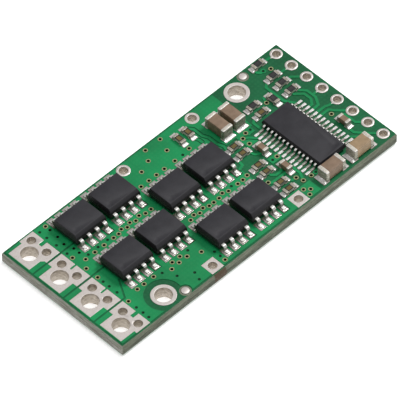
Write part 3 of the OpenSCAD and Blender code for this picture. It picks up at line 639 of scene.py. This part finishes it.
maskFinish = makeMaskFinish("solderMask", maskLook)
viaShadeMaskFinish = makeMaskFinish("viaMaskShade", viaShadeMaskLook)
laminateFinish = makeLaminateFinish()
copperFinish = makeCopperFinish()
tinFinish = makeTinFinish("levelledTin", tinLook)
eyeletFinish = makeTinFinish("eyeletTin", eyeletLook)
shadedLandFinish = makeTinFinish("landTinShade", shadedLandLook)
chipSolderFinish = makeTinFinish("chipSolder", chipSolderLook)
viaFinish = makeTinFinish("viaTin", viaLook)
solderFinish = makeTinFinish("reflowedSolder", solderLook)
leadFinish = makeTinFinish("leadTin", leadLook)
fineLeadFinish = makeTinFinish("fineLeadTin", fineLeadLook)
fineSolderFinish = makeTinFinish("fineSolder", fineSolderLook)
endFinish = makeTinFinish("capTin", endLook)
resistorEndFinish = makeTinFinish("resistorTin", resistorEndLook)
mouldingFinish = makeMouldingFinish()
brownCeramic = makeCeramicFinish("brownCeramic", rgb(146, 122, 102), rgb(130, 108, 88), rgb(168, 144, 122))
lightCeramic = makeCeramicFinish("lightCeramic", rgb(170, 144, 112), rgb(154, 130, 100), rgb(188, 162, 130))
alumina = makeCeramicFinish("alumina", rgb(222, 218, 208), rgb(204, 199, 188), rgb(236, 233, 226))
tanFilm = makeCeramicFinish("tanFilm", rgb(116, 100, 52), rgb(98, 84, 42), rgb(146, 128, 76))
tanFrame = makeCeramicFinish("tanFrame", rgb(50, 45, 32), rgb(38, 34, 26), rgb(76, 66, 46))
blackFilm = makeCeramicFinish("blackFilm", rgb(52, 50, 50), rgb(40, 39, 40), rgb(150, 148, 142))
blackFrame = makeCeramicFinish("blackFrame", rgb(34, 33, 34), rgb(26, 25, 26), rgb(58, 57, 56))
print("finishes made")


# board: laminate, copper and mask keep their CAD shapes

for nodeName, finish in {
    "laminate": laminateFinish,
    "top_copper": copperFinish,
    "bottom_copper": copperFinish,
    "top_mask": maskFinish,
    "bottom_mask": maskFinish,
    "transistor_lands": shadedLandFinish,
    "driver_lands": shadedLandFinish,
    "chip_lands": tinFinish,
}.items():
    give(frame["nodes"][nodeName], finish)
print("board dressed")


# plated pads: the CAD shape with the soft rim that levelled solder leaves

padFacts = {"rim": 0.05 * mm, "segments": 2}


def makeSoftPad(nodeName, finish, slotName):
    piece = copyTo(frame["nodes"][nodeName], nodeName + "_soft", Matrix.Identity(4))
    piece.parent = None
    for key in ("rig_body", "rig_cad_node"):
        if key in piece:
            del piece[key]
    editMode(piece)
    bpy.ops.mesh.select_all(action="SELECT")
    bpy.ops.mesh.remove_doubles(threshold=0.001 * mm)
    bpy.ops.mesh.dissolve_limited(angle_limit=math.radians(1))
    objectMode()
    softenEdges(piece, padFacts["rim"], padFacts["segments"], 50)
    smoothByAngle(piece, 60)
    flatten = piece.modifiers.new("flatten", "WEIGHTED_NORMAL")
    flatten.weight = 100
    flatten.keep_sharp = True
    bpy.ops.object.modifier_apply(modifier="flatten")
    give(piece, finish)
    finishPiece(piece, slotName, nodeName)


for number in range(1, 5):
    makeSoftPad("power_pad_" + str(number), tinFinish, "tinned_pad")
for nodeName in ("mounting_rings", "fiducials"):
    makeSoftPad(nodeName, tinFinish, "tinned_pad")
for nodeName in ("header_pads", "capacitor_pads"):
    makeSoftPad(nodeName, eyeletFinish, "tinned_pad")
give(frame["nodes"]["vias"], viaFinish)
print("pads softened")

# mask that sags into each covered via and shuts it; its darker green is painted shade in the dip
filmFacts = {
    "radius": 0.185 * mm,
    "thick": 0.02 * mm,
    "sag": 0.02 * mm,
    "below": 0.05 * mm,
    "openFrom": -17.2 * mm,  # the vias beside the first transistors stayed open
    "openTo": -16.2 * mm,
}
viaBoxes = looseBoxes("vias")
bareTop = max(box[1].z for box in viaBoxes)
coveredBoxes = [box for box in viaBoxes if box[1].z < bareTop - 0.02 * mm]
deselectAll()
bpy.ops.mesh.primitive_cylinder_add(
    vertices=24, radius=filmFacts["radius"], depth=filmFacts["thick"], location=(0, 0, 0)
)
applyPlace()
filmPattern = bpy.context.active_object
editMode(filmPattern)
pickFaces(filmPattern, lambda at, normal: normal.z > 0.9)
bpy.ops.mesh.inset(thickness=filmFacts["radius"] * 0.45)
bpy.ops.transform.translate(value=(0, 0, -filmFacts["sag"] * 0.6))
bpy.ops.mesh.inset(thickness=filmFacts["radius"] * 0.3)
bpy.ops.transform.translate(value=(0, 0, -filmFacts["sag"] * 0.25))
objectMode()
smoothByAngle(filmPattern, 50)
give(filmPattern, viaShadeMaskFinish)
films = []
for box in coveredBoxes:
    at = middle(box)
    if filmFacts["openFrom"] < at.x < filmFacts["openTo"]:
        continue
    films.append(copyTo(filmPattern, "film", turnedTo(at.x, at.y, box[1].z - filmFacts["below"], 0)))
finishPiece(joinAs("via_films", films), "solder_mask")
discard(filmPattern)
print("covered vias shut")


# moulded packages


def makeBody(name, box, facts):
    low, high = box
    size = high - low
    centre = middle(box)
    body = startCube(name, size, centre)
    bandZ = facts["bandHeight"] + low.z
    editMode(body)
    for height in (bandZ - facts["band"] / 2, bandZ + facts["band"] / 2):
        bpy.ops.mesh.select_all(action="SELECT")
        bpy.ops.mesh.bisect(plane_co=(0, 0, height), plane_no=(0, 0, 1))
    near = 0.01 * mm
    taper = ((size.x - 2 * facts["draft"]) / size.x, (size.y - 2 * facts["draft"]) / size.y, 1)
    for end in (low.z, high.z):
        pickFaces(body, lambda at, normal: abs(at.z - end) < near and abs(normal.z) > 0.9)
        bpy.ops.transform.resize(value=taper, center_override=(centre.x, centre.y, end))
    if facts["longBevel"]:
        bpy.ops.mesh.select_mode(type="EDGE")
        pickEdges(body, lambda at: at.z > high.z - near and at.y < low.y + facts["draft"] + near)
        bpy.ops.mesh.bevel(offset=facts["longBevel"], segments=1, affect="EDGES")
    objectMode()
    softenEdges(body, facts["softEdge"], 2, 20)
    dimpleAt = Vector((low.x + facts["dimpleX"], low.y + facts["dimpleY"], high.z + facts["dimpleLift"]))
    deselectAll()
    bpy.ops.mesh.primitive_uv_sphere_add(
        segments=32, ring_count=16, radius=facts["dimpleBall"], location=dimpleAt
    )
    applyPlace()
    ball = bpy.context.active_object
    makeActive(body)
    cut = body.modifiers.new("dimple", "BOOLEAN")
    cut.operation = "DIFFERENCE"
    cut.solver = "EXACT"
    cut.object = ball
    bpy.ops.object.modifier_apply(modifier="dimple")
    discard(ball)
    smoothByAngle(body, 28)
    give(body, mouldingFinish)
    return body


def makeLead(name, facts):
    # one gull wing that leaves the body at y = 0 and stands on z = 0
    thick = facts["thick"]
    top = facts["shoulder"] + thick / 2
    straight = facts["leg"] - facts["bend"]
    lead = startCube(
        name,
        (facts["width"], straight + facts["tuck"], thick),
        (0, (straight - facts["tuck"]) / 2, top - thick / 2),
    )
    editMode(lead)
    pickFaces(lead, lambda at, normal: normal.y > 0.9)
    bpy.ops.mesh.spin(
        steps=4,
        angle=math.radians(90),
        center=(0, straight, top - thick - facts["bend"]),
        axis=(1, 0, 0),
    )
    lower = thick + facts["bend"]
    drop = top - 2 * lower
    bpy.ops.mesh.extrude_region_move(TRANSFORM_OT_translate={"value": (0, 0, -drop)})
    bpy.ops.mesh.spin(
        steps=4,
        angle=math.radians(-90),
        center=(0, straight + 2 * facts["bend"] + thick, lower),
        axis=(1, 0, 0),
    )
    foot = facts["reach"] - straight - 2 * facts["bend"] - thick
    bpy.ops.mesh.extrude_region_move(TRANSFORM_OT_translate={"value": (0, foot, 0)})
    bpy.ops.mesh.select_all(action="SELECT")
    bpy.ops.mesh.remove_doubles(threshold=0.001 * mm)
    bpy.ops.mesh.normals_make_consistent(inside=False)
    objectMode()
    softenEdges(lead, facts["softEdge"], 2, 40)
    smoothByAngle(lead, 40)
    give(lead, facts["finish"])
    return lead


def makeLandSolder(name, facts):
    # solder that covers a land and climbs the foot on it; +Y is outwards, z = 0 the land
    length, width = facts["landLength"], facts["landWidth"]
    centreY = facts["landEnd"] - length / 2
    pool = startGrid(name, (width, length), (0, centreY, facts["film"]), 9, 12)
    editMode(pool, "VERT")
    edgeX = width / 2 - 0.02 * mm
    edgeY = length / 2 - 0.02 * mm
    rim = lambda at: abs(at.x) > edgeX or abs(at.y - centreY) > edgeY
    footX = facts["footWidth"] / 2 + facts["cling"]
    footY = facts["footEnd"] + facts["cling"]
    pickPoints(pool, lambda at: abs(at.x) < footX and at.y < footY and not rim(at))
    bpy.ops.transform.translate(value=(0, 0, facts["climb"]))
    for share in (0.15, 0.3, 0.45):
        pickPoints(pool, lambda at: at.y < centreY + (share - 0.5) * length)
        bpy.ops.transform.resize(value=(facts["neck"], 1, 1), center_override=(0, 0, 0))
    pickPoints(pool, lambda at: not rim(at))
    bpy.ops.mesh.vertices_smooth(factor=0.4, repeat=2)
    bpy.ops.transform.vertex_random(offset=facts["uneven"], seed=facts["seed"])
    pickPoints(pool, lambda at: True)
    bpy.ops.mesh.select_mode(type="FACE")
    bpy.ops.mesh.select_all(action="SELECT")
    bpy.ops.mesh.extrude_region_move(TRANSFORM_OT_translate={"value": (0, 0, facts["film"])})
    bpy.ops.mesh.select_all(action="SELECT")
    bpy.ops.mesh.normals_make_consistent(inside=False)
    objectMode()
    flattenBase(pool)
    makeActive(pool)
    fine = pool.modifiers.new("fine", "SUBSURF")
    fine.levels = 1
    fine.render_levels = 1
    bpy.ops.object.modifier_apply(modifier="fine")
    smoothByAngle(pool, 60)
    give(pool, facts["finish"])
    return pool


def flattenBase(piece):
    # faces that look down are pressed on to the land
    editMode(piece)
    pickFaces(piece, lambda at, normal: normal.z < -0.5)
    bpy.ops.transform.resize(value=(1, 1, 0), center_override=(0, 0, 0))
    objectMode()


# transistors

transistorFacts = {
    "band": 0.2 * mm,
    "bandHeight": 0.75 * mm,
    "draft": 0.15 * mm,
    "longBevel": 0.32 * mm,
    "softEdge": 0.03 * mm,
    "dimpleX": 0.8 * mm,
    "dimpleY": 0.95 * mm,
    "dimpleBall": 1.5 * mm,
    "dimpleLift": 1.44 * mm,
}
transistorLead = {
    "width": 0.46 * mm,
    "thick": 0.2 * mm,
    "shoulder": 0.85 * mm,
    "reach": 1.0 * mm,
    "leg": 0.34 * mm,
    "bend": 0.12 * mm,
    "tuck": 0.03 * mm,
    "softEdge": 0.018 * mm,
    "finish": leadFinish,
}
transistorSolder = {
    "landLength": 1.05 * mm,
    "landWidth": 0.98 * mm,
    "landEnd": 1.3 * mm,  # from the body's wall
    "footWidth": 0.42 * mm,
    "footEnd": 1.0 * mm,
    "cling": 0.03 * mm,
    "climb": 0.09 * mm,
    "neck": 0.97,  # each step of the narrowing towards the body
    "film": 0.02 * mm,
    "uneven": 0.02 * mm,
    "seed": 3,
    "finish": solderFinish,
}
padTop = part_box("transistor_lands")[1].z
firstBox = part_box("transistor_1")
firstBody = makeBody("transistor_1_body", firstBox, transistorFacts)
firstLead = makeLead("leadPattern", transistorLead)
gateSolder = dict(
    transistorSolder,
    landLength=0.95 * mm,
    landWidth=0.84 * mm,
    landEnd=1.23 * mm,
)
solderPatterns = [makeLandSolder("solderPattern", dict(transistorSolder, seed=k)) for k in range(4)]
gatePattern = makeLandSolder("gatePattern", gateSolder)
allSolder = []
for number in range(1, 9):
    nodeName = "transistor_" + str(number)
    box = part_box(nodeName)
    shift = middle(box) - middle(firstBox)
    body = firstBody
    if number > 1:
        body = copyTo(firstBody, nodeName + "_body", Matrix.Translation(shift))
    finishPiece(body, "moulding", nodeName)
    centre = middle(box)
    wallY = (box[1].y - box[0].y) / 2
    leads = []
    leadBoxes = looseBoxes(nodeName + "_leads")
    lastX = max(middle(leadBox).x for leadBox in leadBoxes)
    for leadBox in leadBoxes:
        at = middle(leadBox)
        outward = 1 if at.y > centre.y else -1
        onGate = outward < 0 and at.x > lastX - transistorLead["width"]
        move = turnedTo(at.x, centre.y + outward * wallY, padTop, 0 if outward > 0 else 180)
        leads.append(copyTo(firstLead, "lead", move))
        pattern = gatePattern if onGate else solderPatterns[len(allSolder) * 7 % 4]
        allSolder.append(copyTo(pattern, "solder", move))
    finishPiece(joinAs(nodeName + "_wings", leads), "leads", nodeName + "_leads")
discard(firstLead)
for pattern in solderPatterns + [gatePattern]:
    discard(pattern)
finishPiece(joinAs("transistor_joints", allSolder), "solder", "transistor_solder")
print("transistors made")


# driver chip

driverFacts = dict(
    transistorFacts,
    band=0.15 * mm,
    bandHeight=0.45 * mm,
    draft=0.15 * mm,
    longBevel=0,
    softEdge=0.04 * mm,
    dimpleX=3.5 * mm,
    dimpleY=0.9 * mm,
    dimpleBall=1.6 * mm,
    dimpleLift=1.54 * mm,
)
driverLead = dict(
    transistorLead,
    width=0.26 * mm,
    thick=0.15 * mm,
    shoulder=0.55 * mm,
    reach=1.0 * mm,
    leg=0.2 * mm,
    bend=0.1 * mm,
    softEdge=0.02 * mm,
    finish=fineLeadFinish,
)
driverSolder = dict(
    transistorSolder,
    landLength=0.95 * mm,
    landWidth=0.34 * mm,
    landEnd=1.75 * mm,
    footWidth=0.25 * mm,
    footEnd=1.0 * mm,
    cling=0.02 * mm,
    climb=0.09 * mm,
    neck=0.78,
    uneven=0.012 * mm,
    finish=fineSolderFinish,
)
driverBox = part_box("driver_chip")
finishPiece(makeBody("driver_body", driverBox, driverFacts), "moulding", "driver_chip")
lead = makeLead("leadPattern", driverLead)
solderPatterns = [makeLandSolder("solderPattern", dict(driverSolder, seed=10 + k)) for k in range(3)]
centre = middle(driverBox)
wallX = (driverBox[1].x - driverBox[0].x) / 2
leads = []
joints = []
for leadBox in looseBoxes("driver_chip_leads"):
    at = middle(leadBox)
    outward = 1 if at.x > centre.x else -1
    move = turnedTo(centre.x + outward * wallX, at.y, padTop, -90 if outward > 0 else 90)
    leads.append(copyTo(lead, "lead", move))
    joints.append(copyTo(solderPatterns[len(joints) * 5 % 3], "joint", move))
finishPiece(joinAs("driver_wings", leads), "leads", "driver_chip_leads")
finishPiece(joinAs("driver_joints", joints), "solder", "driver_solder")
discard(lead)
for pattern in solderPatterns:
    discard(pattern)
print("driver made")


# chip capacitors and resistors


def chipPlaces(nodeName):
    places = []
    for box in looseBoxes(nodeName):
        size = box[1] - box[0]
        at = middle(box)
        places.append((at.x, at.y, padTop, 0 if size.x > size.y else 90))
    return places


def makeBlock(name, facts, finish):
    # fired ceramic between the caps
    skin = facts["skin"]
    block = startCube(
        name,
        (facts["length"] - 2 * skin, facts["width"] - 2 * skin, facts["height"] - 2 * skin),
        (0, 0, facts["height"] / 2),
    )
    editMode(block)
    bpy.ops.mesh.select_all(action="SELECT")
    bpy.ops.mesh.subdivide(number_cuts=3)
    bpy.ops.transform.vertex_random(offset=facts["uneven"], seed=5)
    objectMode()
    softenEdges(block, facts["softEdge"], 3, 60)
    smoothByAngle(block, 50)
    give(block, finish)
    return block


def makeCap(name, facts, seed):
    # one dipped end, swollen a little, with an uneven inner rim
    depth = facts["capDepth"]
    cap = startCube(
        name,
        (depth, facts["width"], facts["height"]),
        (facts["length"] / 2 - depth / 2, 0, facts["height"] / 2),
    )
    softenEdges(cap, facts["capRound"], 3, 60)
    editMode(cap)
    bpy.ops.mesh.select_all(action="SELECT")
    bpy.ops.mesh.subdivide(number_cuts=2)
    bpy.ops.mesh.select_mode(type="VERT")
    innerX = facts["length"] / 2 - depth + 0.06 * mm
    pickPoints(cap, lambda at: at.x < innerX)
    bpy.ops.transform.vertex_random(offset=facts["capUneven"], seed=seed)
    pickPoints(cap, lambda at: at.x < innerX + 0.02 * mm)
    bpy.ops.mesh.vertices_smooth(factor=0.5, repeat=1)
    objectMode()
    smoothByAngle(cap, 70)
    give(cap, facts["endFinish"])
    return cap


def makeToeSolder(name, facts, seed):
    # concave wedge from the cap's end down to the land's end
    run, wide = facts["toe"], facts["width"] + facts["landExtra"]
    steps = 6
    wedge = startGrid(name, (run, wide), (facts["length"] / 2 + run / 2, 0, 0.015 * mm), steps, 8)
    editMode(wedge, "VERT")
    startX = facts["length"] / 2
    for row in range(steps):
        share = row / steps
        lift = facts["climb"] * (1 - share) ** 2.2
        rowX = startX + run * share
        pickPoints(wedge, lambda at: abs(at.x - rowX) < run / steps / 3 and abs(at.y) < facts["width"] / 2)
        bpy.ops.transform.translate(value=(0, 0, lift))
    pickPoints(wedge, lambda at: abs(at.y) < wide / 2 - 0.02 * mm and at.x < startX + run - 0.02 * mm)
    bpy.ops.transform.vertex_random(offset=facts["capUneven"] * 0.7, seed=seed)
    bpy.ops.mesh.vertices_smooth(factor=0.3, repeat=1)
    bpy.ops.mesh.select_mode(type="FACE")
    bpy.ops.mesh.select_all(action="SELECT")
    bpy.ops.mesh.extrude_region_move(TRANSFORM_OT_translate={"value": (0, 0, 0.015 * mm)})
    bpy.ops.mesh.select_all(action="SELECT")
    bpy.ops.mesh.normals_make_consistent(inside=False)
    objectMode()
    flattenBase(wedge)
    smoothByAngle(wedge, 60)
    give(wedge, chipSolderFinish)
    return wedge


def spread(pattern, name, places, both=False):
    made = []
    for x, y, z, turn in places:
        for half in (0, 180) if both else (0,):
            made.append(copyTo(pattern, name, turnedTo(x, y, z, turn + half)))
    return made


bulkFacts = {
    "length": 3.2 * mm,
    "width": 1.6 * mm,
    "height": 1.6 * mm,
    "skin": 0.045 * mm,
    "uneven": 0.006 * mm,
    "softEdge": 0.07 * mm,
    "capDepth": 0.52 * mm,
    "capRound": 0.13 * mm,
    "capUneven": 0.05 * mm,
    "endFinish": endFinish,
    "toe": 0.5 * mm,
    "landExtra": 0.12 * mm,
    "climb": 0.22 * mm,
}
bypassFacts = dict(
    bulkFacts,
    length=1.6 * mm,
    width=0.8 * mm,
    height=0.8 * mm,
    skin=0.035 * mm,
    uneven=0.004 * mm,
    softEdge=0.04 * mm,
    capDepth=0.35 * mm,
    capRound=0.07 * mm,
    capUneven=0.03 * mm,
    toe=0.45 * mm,
    landExtra=0.06 * mm,
    climb=0.2 * mm,
)
chipJoints = []
bulkPlaces = [chipPlaces("bulk_capacitor_" + str(number))[0] for number in range(1, 5)]
block = makeBlock("blockPattern", bulkFacts, brownCeramic)
for number, place in enumerate(bulkPlaces, 1):
    body = spread(block, "bulk_block_" + str(number), [place])[0]
    if number == 4:
        give(body, lightCeramic)
    slotName = "light_ceramic" if number == 4 else "brown_ceramic"
    finishPiece(body, slotName, "bulk_capacitor_" + str(number))
cap = makeCap("capPattern", bulkFacts, 2)
finishPiece(joinAs("bulk_caps", spread(cap, "cap", bulkPlaces, True)), "end_metal", "bulk_capacitor_ends")
wedge = makeToeSolder("wedgePattern", bulkFacts, 4)
chipJoints += spread(wedge, "joint", bulkPlaces, True)
for pattern in (block, cap, wedge):
    discard(pattern)

bypassPlaces = chipPlaces("bypass_capacitors")
block = makeBlock("blockPattern", bypassFacts, brownCeramic)
finishPiece(
    joinAs("bypass_blocks", spread(block, "block", bypassPlaces)), "brown_ceramic", "bypass_capacitors"
)
cap = makeCap("capPattern", bypassFacts, 6)
finishPiece(
    joinAs("bypass_caps", spread(cap, "cap", bypassPlaces, True)), "end_metal", "bypass_capacitor_ends"
)
wedge = makeToeSolder("wedgePattern", bypassFacts, 8)
chipJoints += spread(wedge, "joint", bypassPlaces, True)
for pattern in (block, cap, wedge):
    discard(pattern)
print("capacitors made")

resistorFacts = dict(
    bypassFacts,
    height=0.45 * mm,
    skin=0.02 * mm,
    softEdge=0.025 * mm,
    capDepth=0.34 * mm,
    capRound=0.035 * mm,
    capUneven=0.02 * mm,
    endFinish=resistorEndFinish,
    climb=0.17 * mm,
    filmFrame=0.15 * mm,
    filmHeight=0.04 * mm,
)


def makeFilm(name, facts, core, edge):
    # glazed film: the frame stands up a little round a sunk core
    length = facts["length"] - 2 * facts["capDepth"] + 0.02 * mm
    film = startCube(
        name,
        (length, facts["width"] - 0.02 * mm, facts["filmHeight"]),
        (0, 0, facts["height"] - facts["filmHeight"] / 2),
    )
    give(film, edge, core)
    editMode(film)
    pickFaces(film, lambda at, normal: normal.z > 0.9)
    bpy.ops.mesh.inset(thickness=facts["filmFrame"])
    film.active_material_index = 1
    bpy.ops.object.material_slot_assign()
    bpy.ops.transform.translate(value=(0, 0, -0.012 * mm))
    objectMode()
    softenEdges(film, 0.012 * mm, 2, 40)
    smoothByAngle(film, 40)
    return film


for kind, core, edge in (
    ("gate_resistor", tanFilm, tanFrame),
    ("signal_resistor", blackFilm, blackFrame),
):
    places = chipPlaces(kind + "s")
    blockFacts = dict(resistorFacts, height=resistorFacts["height"] - resistorFacts["filmHeight"])
    block = makeBlock("blockPattern", blockFacts, alumina)
    finishPiece(joinAs(kind + "_blocks", spread(block, "block", places)), "alumina", kind + "s")
    cap = makeCap("capPattern", resistorFacts, 12)
    finishPiece(joinAs(kind + "_caps", spread(cap, "cap", places, True)), "end_metal", kind + "_ends")
    film = makeFilm("filmPattern", resistorFacts, core, edge)
    slotName = "tan_film" if core is tanFilm else "black_film"
    finishPiece(joinAs(kind + "_glaze", spread(film, "film", places)), slotName, kind + "_film")
    wedge = makeToeSolder("wedgePattern", resistorFacts, 14)
    chipJoints += spread(wedge, "joint", places, True)
    for pattern in (block, cap, film, wedge):
        discard(pattern)
finishPiece(joinAs("chip_joints", chipJoints), "solder", "chip_solder")
print("resistors made")


# floor, lights and camera

stageFacts = {
    "floorSize": 3.0,
    "floorGap": 0.02 * mm,  # keeps the floor clear of the pads' undersides
    "worldLevel": 0.19,
    "lamps": [
        # name, place, size, watts
        ("softBoxTop", (0.02, -0.08, 0.9), 0.42, 2.8),
        ("softBoxRight", (0.55, -0.02, 0.74), 0.26, 4.2),
        ("softBoxLeft", (-0.55, 0.35, 0.6), 0.3, 0.25),
        ("softBoxNear", (-0.05, -0.62, 0.5), 0.3, 0.15),
    ],
}
deselectAll()
bpy.ops.mesh.primitive_plane_add(
    size=stageFacts["floorSize"], location=(0, 0, -stageFacts["floorGap"])
)
floor = bpy.context.active_object
floor.name = "paleFloor"
give(floor, makeFloorFinish())

world = bpy.data.worlds.new("studio")
bpy.context.scene.world = world
world.use_nodes = True
world.node_tree.nodes["Background"].inputs["Color"].default_value = (1, 1, 1, 1)
world.node_tree.nodes["Background"].inputs["Strength"].default_value = stageFacts["worldLevel"]

aim = Vector(cameraFacts["target"])
for lampName, at, size, watts in stageFacts["lamps"]:
    light = bpy.data.lights.new(lampName, "AREA")
    light.size = size
    light.energy = watts
    lamp = bpy.data.objects.new(lampName, light)
    lamp.location = at
    lamp.rotation_euler = (aim - Vector(at)).to_track_quat("-Z", "Y").to_euler()
    bpy.context.scene.collection.objects.link(lamp)

turn = math.radians(cameraFacts["azimuth"])
rise = math.radians(cameraFacts["elevation"])
back = Vector((math.sin(turn) * math.cos(rise), -math.cos(turn) * math.cos(rise), math.sin(rise)))
level = (-back).cross(Vector((0, 0, 1))).normalized()
above = level.cross(-back)
tilt = math.radians(cameraFacts["roll"])
right = level * math.cos(tilt) + above * math.sin(tilt)
up = back.cross(right)
place = aim + back * cameraFacts["distance"]
view = bpy.data.cameras.new("photoView")
view.lens = cameraFacts["lens"]
view.sensor_width = 36
view.clip_start = 0.01
view.clip_end = 20
camera = bpy.data.objects.new("photoView", view)
camera.matrix_world = Matrix(
    (
        (right.x, up.x, back.x, place.x),
        (right.y, up.y, back.y, place.y),
        (right.z, up.z, back.z, place.z),
        (0, 0, 0, 1),
    )
)
bpy.context.scene.collection.objects.link(camera)
bpy.context.scene.camera = camera
bpy.context.scene.view_settings.view_transform = "Standard"
print("stage set")

deselectAll()
